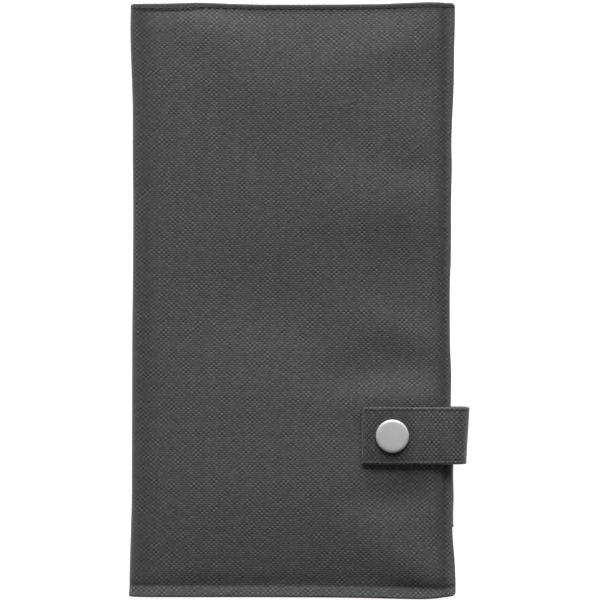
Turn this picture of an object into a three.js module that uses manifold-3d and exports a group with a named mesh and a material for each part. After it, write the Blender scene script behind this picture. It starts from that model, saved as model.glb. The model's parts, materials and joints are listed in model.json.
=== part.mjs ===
// Passport holder wallet: a tall two-cover fabric wallet with a stiff board in
// each cover, inner pockets, a pen loop and a snap strap that wraps the open
// edge. Units are millimetres. +X runs from the spine to the open edge, +Y up
// the wallet, +Z from the back cover to the front cover. The origin is the
// centre of the back cover's outer face, on which the closed wallet lies.
import * as THREE from 'three';
import { mergeVertices } from 'three/addons/utils/BufferGeometryUtils.js';
import Module from 'manifold-3d';

const wasm = await Module();
wasm.setup();

// ---------------------------------------------------------------- dimensions
const HALF_W = 62.5;            // half the closed width
const HALF_H = 115.0;           // half the height
const THICK = 14.0;             // closed thickness, cover face to cover face
const CLOTH = 0.6;              // outer cloth
const LINING = 0.4;             // lining cloth
const BOARD = 1.2;              // stiffener board
const GAP = 0.3;                // clearance between neighbouring sheets
const CORNER_R = 2.0;           // outer corners of the covers

// the two covers, from the outside in
const COVER_X0 = -61.6;         // cover cloth starts clear of the spine
const BOARD_X = [-57.4, 57.6];
const BOARD_HALF_H = 109.4;
const LINING_X = [-60.5, 61.5];
const LINING_HALF_H = 113.4;
const BACK_BOARD_Z = CLOTH + GAP;                          // 0.9
const BACK_LINING_Z = BACK_BOARD_Z + BOARD + GAP;          // 2.4
const FRONT_CLOTH_Z = THICK - CLOTH;                       // 13.4
const FRONT_BOARD_Z = FRONT_CLOTH_Z - GAP - BOARD;         // 11.9
const FRONT_LINING_Z = FRONT_BOARD_Z - GAP - LINING;       // 11.2

// spine: one upright strip of cloth and its lining
const SPINE_X = [-HALF_W, -HALF_W + CLOTH];
const SPINE_LINING_X = [-61.4, -61.0];
const SPINE_LINING_Z = [3.2, 10.8];

// pockets: {x range, y range, z range, panel thickness, side wall}
const TICKET = { x: [-56, 50], y: [-112, 62], z: [3.1, 4.3], panel: 0.4, wall: 0.6 };
const BOARDING = { x: [-55, 49], y: [-111.4, -6], z: [4.6, 5.5], panel: 0.4, wall: 0.6 };
const PASSPORT = { x: [-48, 46], y: [-112, 8], z: [6.1, 10.9], panel: 0.4, wall: 0.6 };
const CARDS = [
  { x: [-48, 46], y: [14, 94], z: [10.4, 11.0], panel: 0.3, wall: 0.8 },
  { x: [-48, 46], y: [14, 82], z: [9.6, 10.2], panel: 0.3, wall: 0.8 },
  { x: [-48, 46], y: [14, 70], z: [8.8, 9.4], panel: 0.3, wall: 0.8 },
];
const PEN = { x: [52.0, 62.9], y: [-88.3, -50.0], z: [3.1, 10.6], wall: 0.6, r: 1.6 };

// strap: two plies, sewn into the open-edge seam of the back cover
const STRAP_W = 22.1;           // width, along Y
const STRAP_Y = -52.45;         // centre line
const STRAP_TAIL_X = 50.5;      // sewn tail, inside the seam
const STRAP_TAIL_END = 66.4;
const STRAP_TAIL_Z = [0.9, 2.15];
const STRAP_SIDE_X = [66.9, 67.5, 67.7, 68.3];
const STRAP_SIDE_Z = [2.6, 16.2];
const STRAP_TIP_X = 27.05;
const STRAP_FLAP_X1 = 67.2;
const STRAP_FLAP_Z = [16.6, 17.2, 17.3, 17.9];

// snap fastener
const SNAP = { x: 38.8, y: -52.5 };
const CAP_R = 6.4;
const HOLE_FRONT_R = 1.5;       // hole in the front cloth for the stud's rivet
const HOLE_BOARD_R = 4.7;       // clearance in the front board for its flange
const HOLE_STRAP_R = 2.3;       // hole in the strap for the cap's rivet

// ----------------------------------------------------------------- materials
const cloth = () => new THREE.MeshStandardMaterial({ color: 0x4a4a4a, roughness: 0.9, metalness: 0 });
const strapCloth = () => new THREE.MeshStandardMaterial({ color: 0x4c4c4c, roughness: 0.88, metalness: 0 });
const lining = () => new THREE.MeshStandardMaterial({ color: 0x333436, roughness: 0.75, metalness: 0 });
const board = () => new THREE.MeshStandardMaterial({ color: 0x1d1e20, roughness: 0.55, metalness: 0 });
const metal = () => new THREE.MeshStandardMaterial({ color: 0xb4b4b4, roughness: 0.35, metalness: 1 });

// ------------------------------------------------------------------- helpers
const group = new THREE.Group();

function add(name, geometry, material) {
  const mesh = new THREE.Mesh(geometry, material);
  mesh.name = name;
  group.add(mesh);
  return mesh;
}

// rectangle with rounded corners, as a shape in X and Y
function roundedRect(x0, y0, x1, y1, r) {
  const s = new THREE.Shape();
  s.moveTo(x0 + r, y0);
  s.lineTo(x1 - r, y0);
  s.absarc(x1 - r, y0 + r, r, -Math.PI / 2, 0, false);
  s.lineTo(x1, y1 - r);
  s.absarc(x1 - r, y1 - r, r, 0, Math.PI / 2, false);
  s.lineTo(x0 + r, y1);
  s.absarc(x0 + r, y1 - r, r, Math.PI / 2, Math.PI, false);
  s.lineTo(x0, y0 + r);
  s.absarc(x0 + r, y0 + r, r, Math.PI, 1.5 * Math.PI, false);
  return s;
}

function hole(x, y, r) {
  const p = new THREE.Path();
  p.absarc(x, y, r, 0, 2 * Math.PI, true);
  return p;
}

function sheet(shape, z0, z1, curveSegments = 6) {
  const g = new THREE.ExtrudeGeometry(shape, { depth: z1 - z0, bevelEnabled: false, curveSegments });
  g.translate(0, 0, z0);
  return g;
}

function box(x, y, z) {
  const g = new THREE.BoxGeometry(x[1] - x[0], y[1] - y[0], z[1] - z[0]);
  g.translate((x[0] + x[1]) / 2, (y[0] + y[1]) / 2, (z[0] + z[1]) / 2);
  return g;
}

function solid(geometry) {
  const g = geometry.clone();
  g.deleteAttribute('normal');
  g.deleteAttribute('uv');
  const m = mergeVertices(g, 1e-5);
  return new wasm.Manifold(new wasm.Mesh({
    numProp: 3,
    vertProperties: new Float32Array(m.attributes.position.array),
    triVerts: new Uint32Array(m.index.array),
  }));
}

function fromSolid(s) {
  const m = s.getMesh();
  const g = new THREE.BufferGeometry();
  g.setAttribute('position', new THREE.BufferAttribute(new Float32Array(m.vertProperties), 3));
  g.setIndex(new THREE.BufferAttribute(new Uint32Array(m.triVerts), 1));
  g.computeVertexNormals();
  return g;
}

// a slip pocket: a panel with a side wall on three edges, open at +Y.
// `up` puts the walls above the panel, otherwise they hang below it.
function pocket(p, up) {
  const outer = solid(box(p.x, p.y, p.z));
  const z = up ? [p.z[0] + p.panel, p.z[1] + 1] : [p.z[0] - 1, p.z[1] - p.panel];
  const space = solid(box([p.x[0] + p.wall, p.x[1] - p.wall], [p.y[0] + p.wall, p.y[1] + 1], z));
  return fromSolid(outer.subtract(space));
}

// a solid of revolution about Z through (x, y); profile is [radius, height]
function turned(profile, x, y, segments = 40) {
  const pts = profile.map(([r, h]) => new THREE.Vector2(r, h));
  const g = new THREE.LatheGeometry(pts, segments);
  g.rotateX(Math.PI / 2);
  g.translate(x, y, 0);
  return g;
}

// ---------------------------------------------------------------- back cover
add('back_outer_fabric',
  sheet(roundedRect(COVER_X0, -HALF_H, HALF_W, HALF_H, CORNER_R), 0, CLOTH), cloth());

// the board is notched at the open edge for the strap's sewn tail
{
  const [x0, x1] = BOARD_X;
  const notchX = STRAP_TAIL_X - GAP;
  const y0 = STRAP_Y - STRAP_W / 2 - 0.6;
  const y1 = STRAP_Y + STRAP_W / 2 + 0.6;
  const s = new THREE.Shape();
  s.moveTo(x0, -BOARD_HALF_H);
  s.lineTo(x1, -BOARD_HALF_H);
  s.lineTo(x1, y0);
  s.lineTo(notchX, y0);
  s.lineTo(notchX, y1);
  s.lineTo(x1, y1);
  s.lineTo(x1, BOARD_HALF_H);
  s.lineTo(x0, BOARD_HALF_H);
  add('back_stiffener', sheet(s, BACK_BOARD_Z, BACK_BOARD_Z + BOARD), board());
}
add('back_lining',
  sheet(roundedRect(LINING_X[0], -LINING_HALF_H, LINING_X[1], LINING_HALF_H, 1.2),
    BACK_LINING_Z, BACK_LINING_Z + LINING), lining());
add('ticket_pocket', pocket(TICKET, false), lining());
add('boarding_pass_pocket', pocket(BOARDING, false), lining());

// pen loop: a flat sleeve along Y on the back cover's open edge
{
  const ring = roundedRect(PEN.x[0], PEN.z[0], PEN.x[1], PEN.z[1], PEN.r);
  const w = PEN.wall;
  const inner = roundedRect(PEN.x[0] + w, PEN.z[0] + w, PEN.x[1] - w, PEN.z[1] - w, PEN.r - w);
  const path = new THREE.Path();
  path.curves = inner.curves;
  ring.holes.push(path);
  const g = new THREE.ExtrudeGeometry(ring,
    { depth: PEN.y[1] - PEN.y[0], bevelEnabled: false, curveSegments: 4 });
  g.rotateX(Math.PI / 2);
  g.translate(0, PEN.y[1], 0);
  add('pen_loop', g, cloth());
}

add('strap_anchor',
  box([STRAP_TAIL_X, STRAP_TAIL_END], [STRAP_Y - STRAP_W / 2, STRAP_Y + STRAP_W / 2], STRAP_TAIL_Z),
  strapCloth());

// --------------------------------------------------------------------- spine
add('spine_outer_fabric', box(SPINE_X, [-HALF_H, HALF_H], [0, THICK]), cloth());
add('spine_lining', box(SPINE_LINING_X, [-LINING_HALF_H, LINING_HALF_H], SPINE_LINING_Z), lining());

// --------------------------------------------------------------- front cover
{
  const s = roundedRect(COVER_X0, -HALF_H, HALF_W, HALF_H, CORNER_R);
  s.holes.push(hole(SNAP.x, SNAP.y, HOLE_FRONT_R));
  add('front_outer_fabric', sheet(s, FRONT_CLOTH_Z, THICK), cloth());
}
{
  const s = roundedRect(BOARD_X[0], -BOARD_HALF_H, BOARD_X[1], BOARD_HALF_H, 1.5);
  s.holes.push(hole(SNAP.x, SNAP.y, HOLE_BOARD_R));
  add('front_stiffener', sheet(s, FRONT_BOARD_Z, FRONT_BOARD_Z + BOARD, 8), board());
}
add('front_lining',
  sheet(roundedRect(LINING_X[0], -LINING_HALF_H, LINING_X[1], LINING_HALF_H, 1.2),
    FRONT_LINING_Z, FRONT_LINING_Z + LINING), lining());
add('passport_pocket', pocket(PASSPORT, true), lining());
CARDS.forEach((c, i) => add(`card_slot_${i + 1}`, pocket(c, true), lining()));

// stud on the front cover: a flange, a waist and a rounded head
add('snap_stud', turned([
  [0, 14.05], [4.5, 14.05], [4.5, 14.35], [4.2, 14.55], [1.75, 14.65],
  [1.7, 15.1], [2.05, 15.6], [2.0, 16.0], [1.5, 16.3], [0, 16.35],
], SNAP.x, SNAP.y), metal());
// the rivet that holds the stud: flange in the board's hole, shank through the cloth
add('snap_post', turned([
  [0, 12.0], [4.2, 12.0], [4.2, 12.4], [1.1, 12.6], [1.1, 14.0], [0, 14.0],
], SNAP.x, SNAP.y), metal());

// --------------------------------------------------------------------- strap
const strapY = [STRAP_Y - STRAP_W / 2, STRAP_Y + STRAP_W / 2];
add('strap_side_inner', box([STRAP_SIDE_X[0], STRAP_SIDE_X[1]], strapY, STRAP_SIDE_Z), strapCloth());
add('strap_side_outer', box([STRAP_SIDE_X[2], STRAP_SIDE_X[3]], strapY, STRAP_SIDE_Z), strapCloth());

for (const [name, z0, z1] of [
  ['strap_flap_inner', STRAP_FLAP_Z[0], STRAP_FLAP_Z[1]],
  ['strap_flap_outer', STRAP_FLAP_Z[2], STRAP_FLAP_Z[3]],
]) {
  const s = roundedRect(STRAP_TIP_X, strapY[0], STRAP_FLAP_X1, strapY[1], 0.8);
  s.holes.push(hole(SNAP.x, SNAP.y, HOLE_STRAP_R));
  add(name, sheet(s, z0, z1), strapCloth());
}

// cap: a shallow flat-topped button with a rolled rim, and its rivet
add('snap_cap', turned([
  [0, 16.65], [1.9, 16.65], [1.9, 18.0], [CAP_R - 0.4, 18.0], [CAP_R, 18.3],
  [CAP_R, 18.7], [CAP_R - 0.35, 19.1], [CAP_R - 0.9, 19.25], [CAP_R - 1.5, 19.2], [0, 19.3],
], SNAP.x, SNAP.y), metal());
// socket: a ring under the strap that takes the stud's head
add('snap_socket', turned([
  [2.65, 14.8], [5.0, 14.8], [5.3, 15.1], [5.3, 15.9], [4.6, 16.45], [2.4, 16.45],
  [2.4, 15.95], [3.3, 15.8], [3.3, 15.2], [2.65, 15.1], [2.65, 14.8],
], SNAP.x, SNAP.y), metal());
// spring: an open ring of wire in the socket's groove, behind the stud's head
{
  const s = new THREE.Shape();
  const a = 0.45;
  s.absarc(0, 0, 2.95, a, 2 * Math.PI - a, false);
  s.absarc(0, 0, 2.4, 2 * Math.PI - a, a, true);
  const g = sheet(s, 15.3, 15.7, 16);
  g.translate(SNAP.x, SNAP.y, 0);
  add('snap_spring', g, metal());
}

export default group;
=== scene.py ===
import json
import math
import bpy
import bmesh
import numpy as np
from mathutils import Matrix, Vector

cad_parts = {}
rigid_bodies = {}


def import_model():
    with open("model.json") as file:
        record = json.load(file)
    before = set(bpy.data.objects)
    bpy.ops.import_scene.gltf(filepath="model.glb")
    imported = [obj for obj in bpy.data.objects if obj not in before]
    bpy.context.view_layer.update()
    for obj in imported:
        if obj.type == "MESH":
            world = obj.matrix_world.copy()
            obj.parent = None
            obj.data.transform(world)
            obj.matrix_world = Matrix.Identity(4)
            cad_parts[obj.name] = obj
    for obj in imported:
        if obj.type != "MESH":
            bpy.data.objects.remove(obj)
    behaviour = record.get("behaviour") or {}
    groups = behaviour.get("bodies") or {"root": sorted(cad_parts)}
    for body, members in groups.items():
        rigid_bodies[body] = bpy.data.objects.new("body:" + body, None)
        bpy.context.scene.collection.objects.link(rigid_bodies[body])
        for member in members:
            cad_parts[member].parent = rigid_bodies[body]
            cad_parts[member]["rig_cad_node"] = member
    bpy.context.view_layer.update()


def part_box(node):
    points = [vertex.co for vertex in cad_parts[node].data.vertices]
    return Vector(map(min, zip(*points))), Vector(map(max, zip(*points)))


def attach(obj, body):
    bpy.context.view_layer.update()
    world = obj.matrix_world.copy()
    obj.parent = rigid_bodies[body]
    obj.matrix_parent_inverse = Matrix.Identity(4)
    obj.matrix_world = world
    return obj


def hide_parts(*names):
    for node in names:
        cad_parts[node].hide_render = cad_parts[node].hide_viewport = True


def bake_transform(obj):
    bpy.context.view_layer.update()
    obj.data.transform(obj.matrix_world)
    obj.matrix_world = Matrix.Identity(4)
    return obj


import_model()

MM = 0.001
rng = np.random.default_rng(7)


def mm(node):
    lo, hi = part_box(node)
    return np.array(lo) / MM, np.array(hi) / MM


# ------------------------------------------------------------------ the frame
front_lo, front_hi = mm("front_outer_fabric")
back_lo, back_hi = mm("back_outer_fabric")
spine_lo, spine_hi = mm("spine_outer_fabric")
HALF_H = float(front_hi[1])
THICK = float(front_hi[2])
XS = float(spine_lo[0]) + 0.3            # nominal outer face of the spine
XR = float(front_hi[0]) - 0.5            # nominal open edge
MID_Z = THICK / 2

# --------------------------------------------------------------- maths helpers


def smooth(t):
    t = np.clip(t, 0.0, 1.0)
    return t * t * (3 - 2 * t)


def sat(d, scale):
    return 1 - np.exp(-np.maximum(d, 0) / scale)


def table(points):
    a = np.array(points, float)
    a = a[np.argsort(a[:, 0])]
    return lambda q: np.interp(q, a[:, 0], a[:, 1])


# outline of the closed wallet, as measured widths and heights in millimetres
right_edge = table([(-115, 63.3), (-112, 63.4), (-107, 63.3), (-101, 63.0), (-97.5, 62.7), (-93, 62.3), (-89, 62.1),
                    (-75, 61.9), (-63, 61.6), (-40, 61.5), (-28, 61.7), (-23, 61.45), (-18, 61.2), (-9, 61.15),
                    (0, 61.1), (9, 61.2), (14, 61.5), (23, 61.6), (37, 61.6), (47, 61.8), (51, 62.0), (60, 61.7),
                    (70, 62.0), (75, 62.3), (84, 62.7), (98, 62.85), (103, 63.05), (115, 63.2)])
left_edge = table([(-115, -63.2), (-112, -63.1), (-107, -63.0), (-98, -62.7), (-88, -62.4), (-79, -62.1), (-40, -62.0),
                   (-9, -61.9), (5, -61.7), (19, -61.6), (33, -61.55), (46, -61.6), (56, -61.75), (74.5, -61.7),
                   (84, -62.0), (93, -62.35), (102, -62.65), (112, -62.65), (115, -62.4)])
top_edge = table([(-62.4, 114.7), (-60, 114.85), (-47, 114.9), (-39.5, 115.2), (-35.7, 115.3), (-28, 115.0), (-24, 114.8),
                  (-12.4, 114.5), (0, 114.5), (18.6, 114.55), (34, 114.7), (42, 115.1), (49.6, 115.4), (53.5, 115.5),
                  (57.4, 115.3), (62.8, 115.0)])
bottom_edge = table([(-63, -114.9), (-55, -115.1), (-16, -115.1), (11, -115.2), (26, -115.4), (34, -115.6), (42, -115.8),
                     (49.6, -115.9), (53.5, -115.75), (57.4, -115.2), (61, -114.7), (62.8, -114.3)])


def softened(f, q, width):
    return sum(f(q + o) * w for o, w in ((-width, .25), (0, .5), (width, .25)))


def deform(x, y, ox=0.0, oy=0.0):
    """Nominal sheet position to real outline. ox and oy pull the outline in."""
    wr = smooth((x - 5) / (XR - 5))
    wl = smooth((-10 - x) / (XS * -1 - 10))
    x2 = x + (softened(right_edge, y, 3) + 0.10 - XR - ox) * wr + (softened(left_edge, y, 4) - 0.17 - XS) * wl
    wt = smooth((y - 80) / (HALF_H - 80))
    wb = smooth((-80 - y) / (HALF_H - 80))
    y2 = y + (softened(top_edge, x, 3) + 0.18 - HALF_H - oy) * wt + (softened(bottom_edge, x, 3) + HALF_H + oy) * wb
    return x2, y2


# ------------------------------------------------------------------ materials


class Nodes:
    def __init__(self, name):
        self.mat = bpy.data.materials.new(name)
        self.mat.use_nodes = True
        self.t = self.mat.node_tree
        self.t.nodes.clear()
        self.out = self.t.nodes.new("ShaderNodeOutputMaterial")
        self.bsdf = self.t.nodes.new("ShaderNodeBsdfPrincipled")
        self.t.links.new(self.bsdf.outputs[0], self.out.inputs[0])

    def put(self, socket, value):
        if isinstance(value, (int, float)):
            socket.default_value = value
        elif isinstance(value, (tuple, list)):
            socket.default_value = value
        else:
            self.t.links.new(value, socket)

    def math(self, op, a, b=None, c=None, clamp=False):
        n = self.t.nodes.new("ShaderNodeMath")
        n.operation = op
        n.use_clamp = clamp
        for i, v in enumerate((a, b, c)):
            if v is not None:
                self.put(n.inputs[i], v)
        return n.outputs[0]

    def mix(self, f, a, b):
        """number mix"""
        n = self.t.nodes.new("ShaderNodeMix")
        n.data_type = "FLOAT"
        self.put(n.inputs[0], f)
        self.put(n.inputs[2], a)
        self.put(n.inputs[3], b)
        return n.outputs[0]

    def mix_colour(self, f, a, b, mode="MIX"):
        n = self.t.nodes.new("ShaderNodeMix")
        n.data_type = "RGBA"
        n.blend_type = mode
        self.put(n.inputs[0], f)
        self.put(n.inputs[6], a)
        self.put(n.inputs[7], b)
        return n.outputs[2]

    def noise(self, vector, scale, detail=2.0, rough=0.5, distortion=0.0, dims="3D"):
        n = self.t.nodes.new("ShaderNodeTexNoise")
        n.noise_dimensions = dims
        if vector is not None:
            self.put(n.inputs["Vector"], vector)
        self.put(n.inputs["Scale"], scale)
        self.put(n.inputs["Detail"], detail)
        self.put(n.inputs["Roughness"], rough)
        self.put(n.inputs["Distortion"], distortion)
        return n.outputs["Fac"]

    def white(self, value, w=None):
        n = self.t.nodes.new("ShaderNodeTexWhiteNoise")
        n.noise_dimensions = "1D"
        self.put(n.inputs["W"], value)
        return n.outputs["Value"]

    def white2(self, vector):
        n = self.t.nodes.new("ShaderNodeTexWhiteNoise")
        n.noise_dimensions = "2D"
        self.put(n.inputs["Vector"], vector)
        return n.outputs["Value"]

    def combine(self, x, y, z=0.0):
        n = self.t.nodes.new("ShaderNodeCombineXYZ")
        for i, v in enumerate((x, y, z)):
            self.put(n.inputs[i], v)
        return n.outputs[0]

    def split(self, v):
        n = self.t.nodes.new("ShaderNodeSeparateXYZ")
        self.put(n.inputs[0], v)
        return n.outputs[0], n.outputs[1], n.outputs[2]

    def uv(self):
        n = self.t.nodes.new("ShaderNodeUVMap")
        n.uv_map = "cloth"
        return n.outputs[0]

    def obj(self):
        n = self.t.nodes.new("ShaderNodeTexCoord")
        return n.outputs["Object"]

    def attr(self, name):
        n = self.t.nodes.new("ShaderNodeAttribute")
        n.attribute_name = name
        return n.outputs["Fac"]

    def ramp(self, f, lo, hi):
        n = self.t.nodes.new("ShaderNodeMapRange")
        n.clamp = True
        self.put(n.inputs[0], f)
        self.put(n.inputs[1], lo)
        self.put(n.inputs[2], hi)
        return n.outputs[0]

    def scale_colour(self, colour, f):
        """colour times a number"""
        n = self.t.nodes.new("ShaderNodeVectorMath")
        n.operation = "SCALE"
        self.put(n.inputs[0], colour[:3] if isinstance(colour, (tuple, list)) else colour)
        self.put(n.inputs["Scale"], f)
        return n.outputs[0]

    def bump(self, height, distance, strength=1.0, normal=None):
        n = self.t.nodes.new("ShaderNodeBump")
        self.put(n.inputs["Strength"], strength)
        self.put(n.inputs["Distance"], distance)
        self.put(n.inputs["Height"], height)
        if normal is not None:
            self.put(n.inputs["Normal"], normal)
        return n.outputs[0]


def weave(name, colour, pitch_u, pitch_v, depth, contrast, rough=0.86, sheen=0.25, fibre=1.0, wander=0.16, yarn_var=0.10, painted_float_sheen=0.0, cell_var=0.0):
    """Plain weave, one yarn over and one under, on the 'cloth' map in millimetres."""
    m = Nodes(name)
    u0, v0, _ = m.split(m.uv())
    # the yarns wander a little
    base = m.combine(u0, v0)
    wu = m.math("SUBTRACT", m.noise(base, 0.045, 2.0), 0.5)
    wv = m.math("SUBTRACT", m.noise(m.combine(m.math("ADD", u0, 371.0), v0), 0.045, 2.0), 0.5)
    fu = m.math("SUBTRACT", m.noise(base, 0.55, 1.0), 0.5)
    fv = m.math("SUBTRACT", m.noise(m.combine(m.math("ADD", u0, 91.0), v0), 0.55, 1.0), 0.5)
    u = m.math("ADD", u0, m.math("ADD", m.math("MULTIPLY", wu, wander * 14), m.math("MULTIPLY", fu, wander * pitch_u)))
    v = m.math("ADD", v0, m.math("ADD", m.math("MULTIPLY", wv, wander * 14), m.math("MULTIPLY", fv, wander * pitch_v)))
    a = m.math("DIVIDE", u, pitch_u)
    b = m.math("DIVIDE", v, pitch_v)
    ia, ib = m.math("FLOOR", a), m.math("FLOOR", b)
    fa = m.math("SUBTRACT", m.math("SUBTRACT", a, ia), 0.5)
    fb = m.math("SUBTRACT", m.math("SUBTRACT", b, ib), 0.5)
    odd = m.math("FLOORED_MODULO", m.math("ADD", ia, ib), 2.0)

    def crown(f, wide):
        q = m.math("MULTIPLY", f, wide)
        return m.math("SQRT", m.math("MAXIMUM", m.math("SUBTRACT", 1.0, m.math("MULTIPLY", q, q)), 0.0))

    def along(f):
        return m.math("COSINE", m.math("MULTIPLY", f, math.pi * 0.86))

    warp = m.math("MULTIPLY", crown(fa, 1.92), m.math("ADD", 0.16, m.math("MULTIPLY", along(fb), 0.84)))
    weft = m.math("MULTIPLY", crown(fb, 1.92), m.math("ADD", 0.16, m.math("MULTIPLY", along(fa), 0.84)))
    h = m.mix(odd, weft, warp)
    # filaments run along each yarn
    lines_w = m.noise(m.combine(m.math("MULTIPLY", u, 7.5 / pitch_u), m.math("MULTIPLY", v, 0.9 / pitch_v), 3.0), 1.0, 1.0)
    lines_f = m.noise(m.combine(m.math("MULTIPLY", u, 0.9 / pitch_u), m.math("MULTIPLY", v, 7.5 / pitch_v), 9.0), 1.0, 1.0)
    lines = m.mix(odd, lines_f, lines_w)
    # each yarn has its own shade
    shade_w = m.white(m.math("MULTIPLY", ia, 1.37))
    shade_f = m.white(m.math("ADD", m.math("MULTIPLY", ib, 2.11), 57.3))
    slub = m.mix(odd, shade_f, shade_w)
    blotch = m.noise(base, 0.035, 3.0, 0.55)
    fine = m.noise(base, 0.28, 2.0, 0.5)
    wear_and_painted_light = m.attr("wear_and_painted_light")
    # painted shade: the colour is darker down between the yarns and lighter on their crowns
    k = m.math("ADD", 1.0 - contrast, m.math("MULTIPLY", h, contrast * 1.55))
    k = m.math("MULTIPLY", k, m.math("ADD", 1 - yarn_var / 2, m.math("MULTIPLY", slub, yarn_var)))
    k = m.math("MULTIPLY", k, m.math("ADD", 1 - 0.10 * fibre, m.math("MULTIPLY", lines, 0.20 * fibre)))
    # painted sheen: lengthwise floats are painted lighter than crosswise ones, more so in some patches; each float
    # differs a little
    patchy = m.ramp(m.noise(base, 0.30, 1.0), 0.36, 0.64)
    side = m.math("SUBTRACT", m.math("MULTIPLY", odd, 2.0), 1.0)
    k = m.math("MULTIPLY", k, m.math("ADD", 1.0, m.math("MULTIPLY", side, m.math("MULTIPLY", painted_float_sheen, m.math("ADD", 0.35, m.math("MULTIPLY", patchy, 1.2))))))
    cell = m.white2(m.combine(ia, ib))
    k = m.math("MULTIPLY", k, m.math("ADD", 1 - cell_var, m.math("MULTIPLY", cell, 2 * cell_var)))
    k = m.math("MULTIPLY", k, m.math("ADD", 0.94, m.math("MULTIPLY", blotch, 0.12)))
    k = m.math("MULTIPLY", k, m.math("ADD", 0.96, m.math("MULTIPLY", fine, 0.08)))
    # edge wear, plus painted light and shade, from the vertex attribute
    k = m.math("MULTIPLY", k, m.math("ADD", 1.0, m.math("MULTIPLY", wear_and_painted_light, 0.22)))
    m.put(m.bsdf.inputs["Base Color"], m.scale_colour(colour, k))
    r = m.math("ADD", rough - 0.06, m.math("MULTIPLY", lines, 0.10))
    r = m.math("ADD", r, m.math("MULTIPLY", m.math("SUBTRACT", 1.0, h), 0.06), clamp=True)
    m.put(m.bsdf.inputs["Roughness"], r)
    m.bsdf.inputs["Sheen Weight"].default_value = sheen
    m.bsdf.inputs["Sheen Roughness"].default_value = 0.45
    m.bsdf.inputs["Specular IOR Level"].default_value = 0.32
    height = m.math("ADD", h, m.math("MULTIPLY", lines, 0.16 * fibre))
    height = m.math("ADD", height, m.math("MULTIPLY", fine, 0.25))
    m.put(m.bsdf.inputs["Normal"], m.bump(height, depth * MM))
    return m.mat


def thread_material(name, colour):
    m = Nodes(name)
    u, v, _ = m.split(m.uv())
    # plies twist round the thread, with painted shade in the grooves between them
    twist = m.math("SINE", m.math("ADD", m.math("MULTIPLY", u, 13.0), m.math("MULTIPLY", v, 2 * math.pi * 2)))
    hair = m.noise(m.combine(m.math("MULTIPLY", u, 9.0), m.math("MULTIPLY", v, 14.0)), 1.0, 2.0)
    k = m.math("ADD", 0.84, m.math("MULTIPLY", twist, 0.16))
    k = m.math("MULTIPLY", k, m.math("ADD", 0.86, m.math("MULTIPLY", hair, 0.28)))
    m.put(m.bsdf.inputs["Base Color"], m.scale_colour(colour, k))
    m.put(m.bsdf.inputs["Roughness"], m.math("ADD", 0.55, m.math("MULTIPLY", hair, 0.2)))
    m.bsdf.inputs["Sheen Weight"].default_value = 0.2
    m.put(m.bsdf.inputs["Normal"], m.bump(m.math("ADD", twist, m.math("MULTIPLY", hair, 0.4)), 0.06 * MM))
    return m.mat


def metal_material(name, base, rough, metallic=1.0):
    m = Nodes(name)
    p = m.obj()
    grain = m.noise(p, 5200.0, 2.0, 0.6)
    cloud = m.noise(p, 210.0, 3.0, 0.55)
    n = m.t.nodes.new("ShaderNodeMapping")
    n.inputs["Scale"].default_value = (900, 9000, 900)
    n.inputs["Rotation"].default_value = (0, 0, 0.6)
    m.put(n.inputs["Vector"], p)
    scratch = m.ramp(m.noise(n.outputs[0], 1.0, 3.0, 0.7), 0.62, 0.80)
    k = m.math("ADD", 0.95, m.math("MULTIPLY", cloud, 0.10))
    k = m.math("MULTIPLY", k, m.math("SUBTRACT", 1.0, m.math("MULTIPLY", scratch, 0.06)))
    m.put(m.bsdf.inputs["Base Color"], m.scale_colour(base, k))
    m.bsdf.inputs["Metallic"].default_value = metallic
    r = m.math("ADD", rough - 0.05, m.math("MULTIPLY", grain, 0.10))
    r = m.math("ADD", r, m.math("MULTIPLY", cloud, 0.06))
    m.put(m.bsdf.inputs["Roughness"], r)
    height = m.math("SUBTRACT", m.math("MULTIPLY", grain, 0.5), m.math("MULTIPLY", scratch, 0.5))
    m.put(m.bsdf.inputs["Normal"], m.bump(height, 0.012 * MM))
    return m.mat


def board_material(name):
    m = Nodes(name)
    p = m.obj()
    grain = m.noise(p, 1600.0, 3.0, 0.6)
    cloud = m.noise(p, 60.0, 2.0, 0.5)
    k = m.math("ADD", 0.85, m.math("MULTIPLY", cloud, 0.3))
    m.put(m.bsdf.inputs["Base Color"], m.scale_colour((0.022, 0.023, 0.025), k))
    m.put(m.bsdf.inputs["Roughness"], m.math("ADD", 0.42, m.math("MULTIPLY", grain, 0.2)))
    m.put(m.bsdf.inputs["Normal"], m.bump(grain, 0.05 * MM))
    return m.mat


CLOTH = weave("cloth", (0.063, 0.063, 0.0634), 0.985, 0.862, 0.07, 0.16, painted_float_sheen=0.30, cell_var=0.15)
STRAP = weave("strap_cloth", (0.060, 0.060, 0.0604), 0.862, 0.985, 0.08, 0.16, painted_float_sheen=0.36, cell_var=0.16)
LINING = weave("lining_cloth", (0.036, 0.037, 0.040), 0.31, 0.29, 0.07, 0.24, rough=0.62, sheen=0.12, fibre=0.6, wander=0.10, yarn_var=0.05)
THREAD = thread_material("thread", (0.040, 0.040, 0.041))
METAL = metal_material("satin_nickel", (0.60, 0.60, 0.60), 0.40, 0.35)
DARK_METAL = metal_material("plated_brass", (0.46, 0.45, 0.43), 0.30)
BOARD = board_material("board")

# ------------------------------------------------------------------- meshes


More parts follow.
